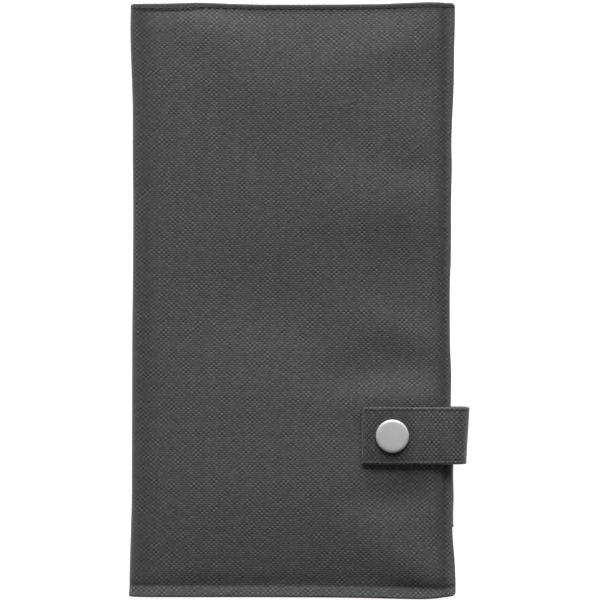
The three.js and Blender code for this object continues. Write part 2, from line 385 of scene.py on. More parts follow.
def make(name, verts, faces, uv, mat, wear_and_painted_light=None, solid=None, weld=True, smooth_faces=True):
    """verts in millimetres. solid: thickness in millimetres, inwards from the face side."""
    me = bpy.data.meshes.new(name)
    me.from_pydata((np.asarray(verts, float) * MM).tolist(), [], [tuple(int(i) for i in f) for f in faces])
    layer = me.uv_layers.new(name="cloth")
    loops = np.zeros(len(me.loops), np.int32)
    me.loops.foreach_get("vertex_index", loops)
    layer.data.foreach_set("uv", np.asarray(uv, np.float32)[loops].ravel())
    a = me.attributes.new("wear_and_painted_light", "FLOAT", "POINT")
    a.data.foreach_set("value", np.asarray(np.zeros(len(verts)) if wear_and_painted_light is None else wear_and_painted_light, np.float32))
    if weld:
        bm = bmesh.new()
        bm.from_mesh(me)
        bmesh.ops.remove_doubles(bm, verts=bm.verts, dist=2e-6)
        bmesh.ops.dissolve_degenerate(bm, edges=bm.edges, dist=1e-7)
        bm.to_mesh(me)
        bm.free()
    ob = bpy.data.objects.new(name, me)
    bpy.context.scene.collection.objects.link(ob)
    if solid:
        md = ob.modifiers.new("solid", "SOLIDIFY")
        md.thickness = solid * MM
        md.offset = -1.0
        md.use_even_offset = False
        dg = bpy.context.evaluated_depsgraph_get()
        new = bpy.data.meshes.new_from_object(ob.evaluated_get(dg), depsgraph=dg)
        ob.modifiers.clear()
        ob.data = new
        bpy.data.meshes.remove(me)
        me = new
        me.name = name
    bm = bmesh.new()
    bm.from_mesh(me)
    bmesh.ops.recalc_face_normals(bm, faces=bm.faces)
    bm.to_mesh(me)
    bm.free()
    if smooth_faces:
        me.polygons.foreach_set("use_smooth", np.ones(len(me.polygons), bool))
    me.materials.clear()
    me.materials.append(mat)
    me.update()
    return ob


def grid_faces(n, m, flip=False):
    i, j = np.meshgrid(np.arange(n - 1), np.arange(m - 1), indexing="ij")
    a = i * m + j
    q = np.stack([a, a + m, a + m + 1, a + 1], -1).reshape(-1, 4)
    return q[:, ::-1] if flip else q


def spaced(lo, hi, fine, coarse, band_lo, band_hi, refine=()):
    """Positions from lo to hi, `fine` apart within the bands at the ends, `coarse` between."""
    out, x = [lo], lo
    while x < hi - 1e-6:
        near = (x - lo < band_lo) or (hi - x < band_hi + fine) or any(a <= x <= b for a, b in refine)
        x = min(x + (fine if near else coarse), hi)
        if hi - x < fine * 0.4:
            x = hi
        out.append(x)
    return np.array(out)


def perimeter(n, m, closed_left=True):
    """Grid indices round the border, anticlockwise from the first row's start. With an open left
    side, the walk runs bottom, right, top only."""
    bottom = [(i, 0) for i in range(n)]
    right = [(n - 1, j) for j in range(1, m)]
    top = [(i, m - 1) for i in range(n - 2, -1, -1)]
    left = [(0, j) for j in range(m - 2, 0, -1)] if closed_left else []
    return bottom + right + top + left


def rim_profile(r, depth, turn, steps=5):
    """(outward, down) pairs from the sheet's border round the nose and under."""
    pts = []
    for k in range(1, steps + 1):
        t = k / steps * math.pi / 2
        pts.append((r * math.sin(t), r * (1 - math.cos(t))))
    if depth > 2 * r + 0.05:
        pts.append((r, depth - r))
    for k in range(1, steps + 1):
        t = k / steps * math.pi / 2
        pts.append((r * math.cos(t), depth - r + r * math.sin(t)))
    for k in (0.35, 0.7, 1.0):
        pts.append((-turn * k, depth))
    return pts


def rounded(x, y, x1, y0, y1, rc, x0=None):
    """Rounds the corners of a rectangular grid by rc."""
    x, y = x.copy(), y.copy()
    sides = [(x1, 1)] + ([(x0, -1)] if x0 is not None else [])
    for xe, sx in sides:
        for ye, sy in ((y1, 1), (y0, -1)):
            p = (x - (xe - sx * rc)) * sx
            q = (y - (ye - sy * rc)) * sy
            inside = (p > 0) & (q > 0)
            r = np.maximum(p, q)
            h = np.hypot(p, q) + 1e-9
            x = np.where(inside, xe - sx * rc + sx * p * r / h, x)
            y = np.where(inside, ye - sy * rc + sy * q * r / h, y)
    return x, y

# ------------------------------------------------------------ outer cloth shell
R_SPINE = 2.8
A1 = MID_Z - R_SPINE
A2 = math.pi / 2 * R_SPINE
RIM_F, RIM_B = 0.66, 0.9                 # nose radius of the turned edges
CLOTH_T = 0.55
STITCH = 3.15                            # stitch pitch

# soft dents and swellings of the padded front cover: x, y, half width, half height, turn (degrees), rise
FRONT_FOLDS = [
    (23, -31, 11, 6.5, 22, -1.11),
    (51, -38, 28, 5.9, -1, 1.60),
    (-32, 105, 47, 8.2, -54, 0.75),
    (-11, -2, 22, 15.9, -7, -1.60),
    (43, 37, 22, 11.2, -11, 1.60),
    (35, -71, 60, 19.1, 1, 1.38),
    (43, -76, 12, 5.0, 4, -1.16),
    (50, 50, 9, 4.1, -9, -0.38),
    (35, 97, 18, 7.6, 16, 1.04),
    (9, -114, 34, 8.1, -7, -1.00),
    (29, 73, 60, 9.4, -25, 0.90),
    (62, -64, 12, 3.0, -1, 0.42),
    (39, -17, 37, 11.5, -92, -1.16),
    (54, -109, 24, 8.0, -38, 1.50),
    (-26, 93, 26, 6.7, -9, -0.31),
    (46, -14, 6, 15.2, 66, 0.98),
]


def folds(x, y, items):
    h = np.zeros_like(x, dtype=float)
    for cx, cy, sx, sy, turn, rise in items:
        t = math.radians(turn)
        a = (x - cx) * math.cos(t) + (y - cy) * math.sin(t)
        b = -(x - cx) * math.sin(t) + (y - cy) * math.cos(t)
        h = h + rise * np.exp(-0.5 * ((a / sx) ** 2 + (b / sy) ** 2))
    return h


def ripple(x, y, amp, wave, seed=0.0):
    """Very soft waviness of cloth."""
    k = 2 * math.pi / wave
    return amp * (np.sin(k * x * 0.83 + 1.1 + seed + 0.9 * np.sin(k * y * 0.31 + seed)) * np.sin(k * y * 0.57 + 0.4 + 1.7 * seed)
                  + 0.5 * np.sin(k * (x * 0.5 + y * 1.1) + 2.3 * seed))


def hem(d, s, drop, groove, crown, reach=2.2):
    """Height change across a sewn edge: d from the edge, stitched at s."""
    h = -drop * (1 - smooth((d - s) / reach))
    h = h - groove * np.exp(-((d - s) / 0.55) ** 2)
    return h + crown * np.exp(-((d - s * 0.5) / np.maximum(s * 0.34, 0.3)) ** 2)


def pucker(d, s, along, amp):
    """The cloth pulls down at each needle hole and swells between."""
    return amp * np.cos(2 * math.pi * along / STITCH) * np.exp(-((d - s) / 1.1) ** 2)


def right_stitch(y):
    return 2.85 + 0.98 * (softened(right_edge, y, 3) - 62.0)


TOP_S, BOTTOM_S = 1.75, 4.45
top_rise = table([(-62, 0.24), (-52, 0.40), (-45, 0.52), (-38, 0.50), (-33, 0.34), (-20, 0.30), (62, 0.30)])
top_lip = table([(-62, 2.0), (-56, 2.6), (-45, 2.9), (-38, 2.7), (-33, 2.0), (-20, 1.75), (62, 1.75)])


def front_height(x, y):
    """Rise of the front cover's outer face above THICK."""
    dr, dt, db, dl = XR - x, HALF_H - y, y + HALF_H, x - XS
    h = 1.97 * sat(dt - 3.3, 10.7) * sat(db - 5.0, 40.0) * sat(dr - 3.0, 16.5) * sat(dl - 3.5, 4.0)
    fade = sat(dt - 2, 3) * sat(db - 4.5, 3) * sat(dr - 1.5, 4) * sat(dl - 3, 5)
    h = h + folds(x, y, FRONT_FOLDS) * fade
    h = h + ripple(x, y, 0.04, 34.0) * fade
    # held down by the stud, and it never sinks into the board
    rs = np.hypot(x - 38.8, y + 52.5)
    h = h * (1 - np.exp(-(rs / 7.0) ** 6))
    h = -0.16 + 0.12 * np.log1p(np.exp(np.clip((h + 0.10) / 0.12, -30, 30)))
    # the board's lower edge lifts the cloth towards the hem
    h = h + 0.42 * smooth((db - 5) / 6) * np.exp(-np.maximum(db - 11, 0) / 50) * (1 - smooth((x - 12) / 24)) * smooth((x + 58) / 25)
    # the lower outer corner curls up a little
    h = h + 1.25 * np.exp(-np.maximum(db - 4.5, 0) / 4.5) * smooth((x - 45) / 10) * (0.6 + 0.4 * smooth((db - 3.2) / 1.6))
    # open edge
    s = right_stitch(y)
    h = h + hem(dr, s, 0.60, 0.36, 0.18) + pucker(dr, s, y, 0.035)
    # top: a narrow rolled lip, with the cloth starting lower behind it
    w = top_lip(x)
    h = h - 0.08 * np.exp(-np.maximum(dt - w, 0) / 1.5) + top_rise(x) * (1 - smooth((dt - w + 0.45) / 0.7)) + pucker(dt, w, x, 0.02)
    # bottom: a wide turned hem that rises outwards from its stitching
    out = np.clip(BOTTOM_S - db, 0, 3.8)
    h = h - 0.55 * np.exp(-np.maximum(db - BOTTOM_S, 0) / 2.7) + 0.21 * out
    h = h - 0.10 * np.exp(-((db - BOTTOM_S) / 0.4) ** 2) + pucker(db, BOTTOM_S, x, 0.03)
    h = h - 0.42 * np.exp(-((dl - 4.3) / 1.0) ** 2) * smooth(dt / 14) * smooth(db / 14)
    return h


def front_painted_light(x, y):
    """Painted light and shade on the cover cloth: paler along the turned edges as a painted highlight, and darker down
    in the creases beside them as painted shade.
    """
    dr, dt, db, dl = XR - x, HALF_H - y, y + HALF_H, x - XS
    long = smooth(dt / 6) * smooth(db / 6)
    # painted shade in the crease beside the spine, painted highlight on the spine's edge
    w = -0.95 * np.exp(-((dl - 5.2) / 3.6) ** 2) * long + 0.5 * np.exp(-(dl / 1.6) ** 2)
    q = dr - right_stitch(y) - 0.4
    # painted shade along the open edge's stitching, painted highlight on its rim
    w = w - 1.5 * np.exp(-(q / np.where(q > 0, 2.8, 1.3)) ** 2) * long + 1.6 * np.exp(-(dr / 1.7) ** 2)
    # painted light: a paler band just below the strap, towards the open edge
    w = w + 0.9 * np.exp(-((y + 71) / 7) ** 2) * smooth((x - 50) / 6)
    # painted shade under the top lip and above the bottom stitching, painted light on the bottom hem band
    w = w - 0.55 * np.exp(-((dt - 3.1) / 1.5) ** 2) - 0.35 * np.exp(-((db - 6.2) / 2.0) ** 2) + 0.25 * np.exp(-((db - 1.2) / 1.6) ** 2)
    return np.clip(w, -1.6, 1.5)


def back_height(x, y):
    """Rise of the back cover's outer face above its lying plane; never past it."""
    dr, dt, db, dl = XR - x, HALF_H - y, y + HALF_H, x - XS
    h = -0.02 - 0.05 * (1 + ripple(x, y, 0.6, 40.0, 2.0))
    h = h + hem(dr, 3.0, 0.30, 0.16, 0.10) + pucker(dr, 3.0, y, 0.03)
    h = h + hem(dt, TOP_S + 0.4, 0.30, 0.16, 0.08) + pucker(dt, TOP_S + 0.4, x, 0.03)
    h = h + hem(db, BOTTOM_S, 0.28, 0.18, 0.10) + pucker(db, BOTTOM_S, x, 0.03)
    h = h - 0.30 * np.exp(-((dl - 4.3) / 1.0) ** 2) * smooth(dt / 14) * smooth(db / 14)
    return np.minimum(h, 0.0)


def shell_base(u, y, front):
    """Point and outward normal of the undisturbed outer face, and how much cover height counts there."""
    t = np.clip((u - A1) / R_SPINE, 0, math.pi / 2)
    x = XS + R_SPINE - R_SPINE * np.cos(t) + np.maximum(u - A1 - A2, 0)
    z = MID_Z + np.minimum(u, A1) + R_SPINE * np.sin(t)
    nx, nz = -np.cos(t), np.sin(t)
    k = smooth((u - A1 * 0.4) / (A2 + A1 * 0.6))
    if not front:
        z, nz = THICK - z, -nz
    return x, y, z, nx, nz, k


def shell_point(u, y, front, down=0.0, hu=None, hy=None, height=None, pull=0.0):
    x, y, z, nx, nz, k = shell_base(u, y, front)
    if height is None:
        height = (front_height if front else back_height)(x, y) * k
    x2, y2 = deform(x, y, 0.0 if front else pull, 0.0 if front else pull)
    rise = height - down
    return np.stack([x2 + nx * rise, y2, z + nz * rise], -1), height


def u_of_x(x):
    return x - XS - R_SPINE + A1 + A2


def shell(name, front, rim, depth, pull):
    u1 = u_of_x(XR) - rim
    y1 = HALF_H - rim
    us = np.concatenate([np.linspace(0, A1 + A2, 12)[:-1], spaced(A1 + A2, u1, 0.5, 1.5, 5.0, 6.0)])
    ys = spaced(-y1, y1, 0.5, 1.05, 6.5, 4.0)
    n, m = len(us), len(ys)
    U, Y = np.meshgrid(us, ys, indexing="ij")
    U2, Y2 = rounded(U, Y, u1, -y1, y1, 0.8)
    P, H = shell_point(U2, Y2, front, pull=pull)
    verts = [P.reshape(-1, 3)]
    uvs = [np.stack([U2 + (0 if front else -2 * U2), Y2], -1).reshape(-1, 2)]
    # painted highlights along the edges and painted shade in the creases, weaker on the back cover
    wear_and_painted_light = [(front_painted_light(*shell_base(U2, Y2, True)[:2]) if front else 0.6 * front_painted_light(*shell_base(U2, Y2, True)[:2])).reshape(-1)]
    faces = [grid_faces(n, m, flip=not front)]
    loop = perimeter(n, m, closed_left=False)
    li = np.array([i * m + j for i, j in loop])
    bu, by = U2.reshape(-1)[li], Y2.reshape(-1)[li]
    bh = H.reshape(-1)[li]
    # outward direction in the sheet
    du, dv = np.zeros(len(li)), np.zeros(len(li))
    for q, (i, j) in enumerate(loop):
        if i == n - 1 and 0 < j < m - 1:
            du[q] = 1
        elif j == 0 and i < n - 1:
            dv[q] = -1
        elif j == m - 1 and i < n - 1:
            dv[q] = 1
    for sy in (-1, 1):
        cu, cy = u1 - 0.8, sy * (y1 - 0.8)
        near = (bu > cu + 1e-6) & ((by - cy) * sy > 1e-6)
        l = np.hypot(bu - cu, by - cy) + 1e-9
        du, dv = np.where(near, (bu - cu) / l, du), np.where(near, (by - cy) / l, dv)
    prev = li
    count = n * m
    for out, down in rim_profile(rim, depth, 3.2):
        if out >= 0:
            pu, py = bu + du * out, by + dv * out
        else:
            pu, py = np.minimum(bu, u1 + out), np.clip(by, -(y1 + out), y1 + out)
        p, _ = shell_point(pu, py, front, down=down, height=bh, pull=pull)
        verts.append(p)
        far = rim + down
        uvs.append(np.stack([(bu + du * far) * (1 if front else -1), by + dv * far], -1))
        wear_and_painted_light.append(np.full(len(li), 0.8 if out > 0.3 * rim else 0.2))
        cur = np.arange(count, count + len(li))
        a, b, c, d = prev[:-1], prev[1:], cur[1:], cur[:-1]
        q = np.stack([a, d, c, b], -1)
        faces.append(q if front else q[:, ::-1])
        prev = cur
        count += len(li)
    w = np.concatenate(wear_and_painted_light)
    ob = make(name, np.concatenate(verts), np.concatenate(faces), np.concatenate(uvs), CLOTH, wear_and_painted_light=w, solid=CLOTH_T)
    return ob


# ------------------------------------------------------------------- threads


def thread_run(name, path, normal, stitch=2.6, gap=0.55, dia=0.42, sides=8, rings=8, phase=0.0, sink=0.10, mat=None):
    """One row of stitches along a line of points in millimetres."""
    path, normal = np.asarray(path, float), np.asarray(normal, float)
    seg = np.linalg.norm(np.diff(path, axis=0), axis=1)
    s = np.concatenate([[0], np.cumsum(seg)])
    total = s[-1]
    at = lambda q: np.stack([np.interp(q, s, path[:, k]) for k in range(3)], -1)
    nt = lambda q: np.stack([np.interp(q, s, normal[:, k]) for k in range(3)], -1)
    verts, faces, uvs, count = [], [], [], 0
    start = 0.4 + phase
    while start + stitch < total - 0.3:
        length = stitch * (1 + 0.05 * (rng.random() - 0.5))
        t = np.linspace(0, 1, rings)
        q = start + t * length
        c, nn = at(q), nt(q)
        nn = nn / np.linalg.norm(nn, axis=1)[:, None]
        tan = np.gradient(c, axis=0)
        tan = tan / np.linalg.norm(tan, axis=1)[:, None]
        side = np.cross(nn, tan)
        side = side / np.linalg.norm(side, axis=1)[:, None]
        bow = 1 - (2 * t - 1) ** 4
        r = dia / 2 * np.sqrt(np.clip(1 - np.abs(2 * t - 1) ** 5, 0.06, 1))
        skew = (rng.random() - 0.5) * 0.10
        centre = c + nn * (dia * 0.34 * bow - sink - 0.16 * (1 - bow))[:, None] + side * (skew * (2 * t - 1))[:, None]
        ang = np.arange(sides) / sides * 2 * math.pi
        ring = centre[:, None, :] + r[:, None, None] * (np.cos(ang)[None, :, None] * side[:, None, :] + 0.8 * np.sin(ang)[None, :, None] * nn[:, None, :])
        verts.append(ring.reshape(-1, 3))
        uvs.append(np.stack([np.repeat(q, sides), np.tile(np.abs(ang / math.pi - 1), rings)], -1))
        for i in range(rings - 1):
            for j in range(sides):
                a, b = count + i * sides + j, count + i * sides + (j + 1) % sides
                faces.append((a, b, b + sides, a + sides))
        faces.append(tuple(count + j for j in range(sides - 1, -1, -1)))
        faces.append(tuple(count + (rings - 1) * sides + j for j in range(sides)))
        count += rings * sides
        start += stitch + gap
    ob = make(name, np.concatenate(verts), faces, np.concatenate(uvs), mat or THREAD, weld=False)
    return ob


def line_on_shell(front, xs, ys, pull=0.0):
    """Points and normals on a cover's outer face for nominal positions."""
    u = u_of_x(np.asarray(xs, float))
    y = np.asarray(ys, float)
    p, _ = shell_point(u, y, front, pull=pull)
    nrm = np.zeros_like(p)
    _, _, _, nx, nz, _ = shell_base(u, y, front)
    nrm[:, 0], nrm[:, 2] = nx, nz
    return p, nrm


# --------------------------------------------------------------------- lining
R_LIN = 2.0
LIN_X = XS + 1.2
LIN_Z = float(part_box("front_lining")[0][2]) / MM          # the front lining's open face
L1 = LIN_Z - MID_Z - R_LIN
L2 = math.pi / 2 * R_LIN


def lining_point(u, y, front, down=0.0):
    t = np.clip((u - L1) / R_LIN, 0, math.pi / 2)
    x = LIN_X + R_LIN - R_LIN * np.cos(t) + np.maximum(u - L1 - L2, 0)
    z = MID_Z + np.minimum(u, L1) + R_LIN * np.sin(t)
    nx, nz = np.cos(t), -np.sin(t)
    flat = smooth((u - L1 - L2) / 8)
    edge = np.minimum(np.minimum(60.4 - x, 113.0 - y), y + 113.0)
    d = 0.05 * flat * (ripple(x, y, 1.0, 30.0, 3.3 if front else 5.1)) * smooth(edge / 6)
    d = d - 0.16 * np.exp(-((edge - 1.5) / 0.5) ** 2) - 0.12 * (1 - smooth(edge / 1.2)) + 0.03 * np.cos(2 * math.pi * (y + x) / STITCH) * np.exp(-((edge - 1.5) / 0.9) ** 2)
    d = d - down
    p = np.stack(np.broadcast_arrays(x + nx * d, y * 1.0, z + nz * d), -1)
    n = np.stack(np.broadcast_arrays(nx, 0 * y, nz), -1)
    if not front:
        p[..., 2] = THICK - p[..., 2]
        n[..., 2] = -n[..., 2]
    return p, n


def lining_sheet(name, front):
    u1 = 60.4 - LIN_X - R_LIN + L1 + L2
    us = np.concatenate([np.linspace(0, L1 + L2, 12)[:-1], spaced(L1 + L2, u1, 0.5, 2.2, 2.0, 4.0)])
    ys = spaced(-113.0, 113.0, 0.5, 1.6, 4.0, 4.0)
    U, Y = np.meshgrid(us, ys, indexing="ij")
    U, Y = rounded(U, Y, u1, -113.0, 113.0, 1.2)
    p, _ = lining_point(U, Y, front)
    return make(name, p.reshape(-1, 3), grid_faces(len(us), len(ys), flip=front), np.stack([U if front else -U, Y], -1).reshape(-1, 2),
                LINING, solid=0.38)


def lining_thread(name, front):
    ys = np.linspace(-111.5, 111.5, 300)
    u1 = 60.4 - LIN_X - R_LIN + L1 + L2
    p, n = lining_point(np.full_like(ys, u1 - 1.5), ys, front)
    return thread_run(name, p, n, dia=0.36)


# -------------------------------------------------------------------- pockets


def patch(name, x0, x1, y0, y1, z_base, depth, up, width, flange=2.4, thick=0.42, seed=0.0, mat=None, belly=0.0):
    """A sewn-on pocket, open at +Y. up: the pocket stands up from the lining (+Z)."""
    xs = spaced(x0 - flange, x1 + flange, 0.4, 2.0, flange + width + 0.8, flange + width + 0.8)
    ys = spaced(y0 - flange, y1, 0.4, 1.6, flange + width + 0.8, 1.5)
    X, Y = np.meshgrid(xs, ys, indexing="ij")
    d = np.minimum(np.minimum(X - x0, x1 - X), Y - y0)
    q = np.clip(d / width, 0, 1)
    rise = np.sqrt(np.clip(1 - (1 - q) ** 2, 0, 1))
    inner = smooth((d - width) / 12)
    Z = depth * rise + 0.10 * ripple(X, Y, 1.0, 26.0, seed) * inner * min(depth, 1.0) - belly * inner
    fl = np.minimum(np.minimum(X - (x0 - flange), (x1 + flange) - X), Y - (y0 - flange))
    Z = Z - 0.10 * np.exp(-((fl - 1.2) / 0.4) ** 2) * (d < 0)
    Z = thick + Z
    sgn = 1 if up else -1
    P = np.stack([X, Y, z_base + sgn * Z], -1)
    ob = make(name, P.reshape(-1, 3), grid_faces(len(xs), len(ys), flip=not up), np.stack([X + seed * 7, Y], -1).reshape(-1, 2),
              mat or LINING, solid=thick)
    # top edge line for its binding
    edge = np.stack([xs, np.full_like(xs, y1), z_base + sgn * (Z[:, -1])], -1)
    return ob, edge, sgn


def patch_thread(name, x0, x1, y0, y1, z_base, up, flange=2.4, thick=0.42):
    s = flange - 1.2
    sgn = 1 if up else -1
    z = z_base + sgn * (thick - 0.08)
    pts = []
    for a, b in (((x0 - s, y1 - 1.5), (x0 - s, y0 - s)), ((x0 - s, y0 - s), (x1 + s, y0 - s)), ((x1 + s, y0 - s), (x1 + s, y1 - 1.5))):
        k = max(int(math.dist(a, b) / 1.0), 2)
        for t in np.linspace(0, 1, k, endpoint=False):
            pts.append((a[0] + (b[0] - a[0]) * t, a[1] + (b[1] - a[1]) * t, z))
    pts = np.array(pts)
    n = np.tile([0, 0, sgn * 1.0], (len(pts), 1))
    return thread_run(name, pts, n, dia=0.36)


def binding(name, edge, sgn, width=5.2, thick=0.42, over=0.34, mat=None):
    """A folded tape over a pocket's mouth: a flat U section swept along the edge."""
    n = len(edge)
    # section in (along y, out of the sheet), relative to the sheet's outer face
    sec = []
    half = thick / 2 + over
    for k in range(9):
        t = -math.pi / 2 + math.pi * k / 8
        sec.append((math.cos(t) * half * 0.9, -thick / 2 + math.sin(t) * half))
    sec = [(-width, -thick - over * 0.55)] + [(-width + 0.5, -thick - over)] + sec + [(-width + 0.5, over)] + [(-width, over * 0.55)]
    sec += [(-width - 0.15, 0.0), (-width - 0.15, -thick)]
    sec = np.array(sec)
    m = len(sec)
    P = np.zeros((n, m, 3))
    P[:, :, 0] = edge[:, 0][:, None]
    P[:, :, 1] = edge[:, 1][:, None] + sec[None, :, 0]
    P[:, :, 2] = edge[:, 2][:, None] + sgn * sec[None, :, 1]
    per = np.concatenate([[0], np.cumsum(np.linalg.norm(np.diff(np.vstack([sec, sec[:1]]), axis=0), axis=1))])[:-1]
    uv = np.stack(np.broadcast_arrays(per[None, :] * 1.0, edge[:, 0][:, None]), -1)
    faces = []
    for i in range(n - 1):
        for j in range(m):
            a, b = i * m + j, i * m + (j + 1) % m
            faces.append((a, b, b + m, a + m))
    faces.append(tuple(range(m)))
    faces.append(tuple((n - 1) * m + j for j in range(m - 1, -1, -1)))
    ob = make(name, P.reshape(-1, 3), faces, uv.reshape(-1, 2), mat or STRAP_FINE, weld=False)
    line = np.stack([edge[:, 0], edge[:, 1] - width + 0.9, edge[:, 2] + sgn * over * 0.92], -1)[2:-2]
    th = thread_run(name + "_thread", line, np.tile([0, 0, sgn * 1.0], (len(line), 1)), dia=0.34)
    return ob, th


STRAP_FINE = weave("binding_cloth", (0.060, 0.060, 0.061), 0.42, 0.55, 0.12, 0.34, rough=0.8, fibre=0.7, wander=0.05)

# ---------------------------------------------------------------------- strap
flap_lo, flap_hi = mm("strap_flap_outer")
flap_in_lo, _ = mm("strap_flap_inner")
side_lo, side_hi = mm("strap_side_outer")
side_in_lo, _ = mm("strap_side_inner")
tail_lo, tail_hi = mm("strap_anchor")
cap_lo, cap_hi = mm("snap_cap")
CAP = (cap_lo + cap_hi) / 2
STRAP_YC = float(flap_lo[1] + flap_hi[1]) / 2
STRAP_HW = float(flap_hi[1] - flap_lo[1]) / 2
FLAP_Z = float(flap_in_lo[2] + flap_hi[2]) / 2
SIDE_X = float(side_in_lo[0] + side_hi[0]) / 2
TAIL_Z = float(tail_lo[2] + tail_hi[2]) / 2
TIP_X = float(flap_lo[0])
RT, RB = 4.0, 2.6
MID_SIDE = 8.9


def strap_line(s, upper):
    """Middle line of the strap. Lower: s from the mid side down and into the seam. Upper: from the mid side up and to the tip."""
    if upper:
        straight = FLAP_Z - RT - MID_SIDE
        arc = math.pi / 2 * RT
        t = np.clip((s - straight) / RT, 0, math.pi / 2)
        x = SIDE_X - RT + RT * np.cos(t) - np.maximum(s - straight - arc, 0)
        z = MID_SIDE + np.minimum(s, straight) + RT * np.sin(t)
        nx, nz = np.cos(t), np.sin(t)
    else:
        straight = MID_SIDE - TAIL_Z - RB
        arc = math.pi / 2 * RB
        t = np.clip((s - straight) / RB, 0, math.pi / 2)
        x = SIDE_X - RB + RB * np.cos(t) - np.maximum(s - straight - arc, 0)
        z = MID_SIDE - np.minimum(s, straight) - RB * np.sin(t)
        nx, nz = np.cos(t), -np.sin(t)
    return x, z, nx, nz


UP_LEN = (FLAP_Z - RT - MID_SIDE) + math.pi / 2 * RT + (SIDE_X - RT - TIP_X)
LOW_LEN = (MID_SIDE - TAIL_Z - RB) + math.pi / 2 * RB + (SIDE_X - RB - 52.0)


def strap_half(w, end):
    """Half thickness from the distances to the long edge and to the finished end."""
    T = 0.66
    e = np.minimum(w, end)
    r = 0.45
    nose = np.sqrt(np.clip(1 - ((r - np.clip(e, 0, r)) / r) ** 2, 0, 1))
    t = T * nose
    t = t - 0.09 * np.exp(-((e - 1.55) / 0.38) ** 2)
    return (t + 0.05 * np.exp(-((e - 0.75) / 0.5) ** 2)) * np.clip(e / 0.05, 0, 1)


def strap_mid(s, w, upper):
    """Middle surface with its slant, droop and dimple; w across."""
    x, z, nx, nz = strap_line(s, upper)
    y = STRAP_YC + w
    lean = smooth((x - 57.0) / 10.0) * 0.60 * w / STRAP_HW
    d = np.zeros_like(x + w)
    if upper:
        rc = np.hypot(x - CAP[0], y - CAP[1])
        d = d - 0.10 * np.exp(-((rc - 7.0) / 1.4) ** 2) * (x < 60)
        d = d - 0.45 * smooth((x - 47) / 10) * (1 - smooth((x - 60) / 7)) - 0.16 * (1 - smooth((x - TIP_X) / 5))
        d = d - 0.34 * (np.abs(w) / STRAP_HW) ** 2 * (1 - smooth((x - 58) / 8))
        d = d + 0.07 * np.sin(x * 0.33 + 0.8) * np.sin(y * 0.21 + 1.0)
    return x + lean, y, z, nx, nz, d


def strap_piece(name, upper, tail=False):
    length = UP_LEN if upper else LOW_LEN
    s = spaced(0.0, length, 0.28, 0.75, 0.5, 3.2 if upper else 0.5)
    w = spaced(-STRAP_HW, STRAP_HW, 0.16, 0.8, 2.4, 2.4)
    S, W = np.meshgrid(s, w, indexing="ij")
    if upper:
        S, W = rounded(S, W, length, -STRAP_HW, STRAP_HW, 0.9)
    end = (length - S) if upper else np.full_like(S, 50.0)
    half = strap_half(STRAP_HW - np.abs(W), end)
    x, y, z, nx, nz, d = strap_mid(S, W, upper)
    pk = 0.03 * np.cos(2 * math.pi * S / STITCH) * np.exp(-((STRAP_HW - np.abs(W) - 1.55) / 0.8) ** 2)
    out = half + d + pk
    inn = -half + d
    top = np.stack([x + nx * out, y, z + nz * out], -1).reshape(-1, 3)
    bot = np.stack([x + nx * inn, y, z + nz * inn], -1).reshape(-1, 3)
    n, m = len(s), len(w)
    f1 = grid_faces(n, m)
    f2 = grid_faces(n, m, flip=True) + n * m
    # the cut end at the mid side meets the other half of the strap
    cap_faces = []
    row = np.arange(m)
    for j in range(m - 1):
        cap_faces.append((row[j], row[j + 1], row[j + 1] + n * m, row[j] + n * m))
    if not upper:
        r2 = (n - 1) * m + row
        for j in range(m - 1):
            cap_faces.append((r2[j], r2[j] + n * m, r2[j + 1] + n * m, r2[j + 1]))
    sgn = 1 if upper else -1
    uv = np.stack([S * sgn, W], -1).reshape(-1, 2)
    wear_and_painted_light = 0.6 * smooth(1 - np.minimum(STRAP_HW - np.abs(W), end) / 0.7)
    if upper:
        # painted shade: the flap is darker from the snap out to its tip, with a darker band where it bends over the
        # open edge
        wear_and_painted_light = wear_and_painted_light - 1.15 * (1 - smooth((x - CAP[0] - 4) / 7)) * smooth((end - 0.8) / 1.0) - 0.35 * np.exp(-((x - 64.5) / 1.6) ** 2)
    wear_and_painted_light = wear_and_painted_light.reshape(-1)
    return make(name, np.concatenate([top, bot]), np.concatenate([f1, f2, np.array(cap_faces)]), np.concatenate([uv, uv + 0.37]),
                STRAP, wear_and_painted_light=np.concatenate([wear_and_painted_light, wear_and_painted_light]))


def strap_thread(name, upper, outer=True):
    length = UP_LEN if upper else LOW_LEN
    e = 1.55
    if upper:
        s = np.concatenate([np.linspace(0, length - e, 90), np.full(40, length - e), np.linspace(length - e, 0, 90)])
        w = np.concatenate([np.full(90, STRAP_HW - e), np.linspace(STRAP_HW - e, -STRAP_HW + e, 42)[1:-1], np.full(90, -STRAP_HW + e)])
        runs = [(s, w)]
    else:
        runs = [(np.linspace(0, length - 11.5, 30), np.full(30, k * (STRAP_HW - e))) for k in (-1, 1)]
    obs = []
    for q, (s, w) in enumerate(runs):
        x, y, z, nx, nz, d = strap_mid(s, w, upper)
        half = 0.66 - 0.13
        k = 1 if outer else -1
        p = np.stack([x + nx * (d + k * half), y, z + nz * (d + k * half)], -1)
        nn = np.stack([nx * k, 0 * nx, nz * k], -1)
        obs.append(thread_run(f"{name}_{q + 1}" if len(runs) > 1 else name, p, nn, stitch=2.3, gap=0.5, dia=0.36))
    return obs


# ---------------------------------------------------------------- turned metal


def turned(name, profile, centre, mat, segments=96, closed=False):
    """Solid of revolution about Z: profile of (radius, height) in millimetres."""
    pr = np.array(profile, float)
    ang = np.arange(segments) / segments * 2 * math.pi
    verts, faces, uv = [], [], []
    k = len(pr)
    for r, h in pr:
        for a in ang:
            verts.append((centre[0] + r * math.cos(a), centre[1] + r * math.sin(a), h))
            uv.append((r, a))
    for i in range(k if closed else k - 1):
        i2 = (i + 1) % k
        for j in range(segments):
            j2 = (j + 1) % segments
            faces.append((i * segments + j, i * segments + j2, i2 * segments + j2, i2 * segments + j))
    return make(name, verts, faces, uv, mat)


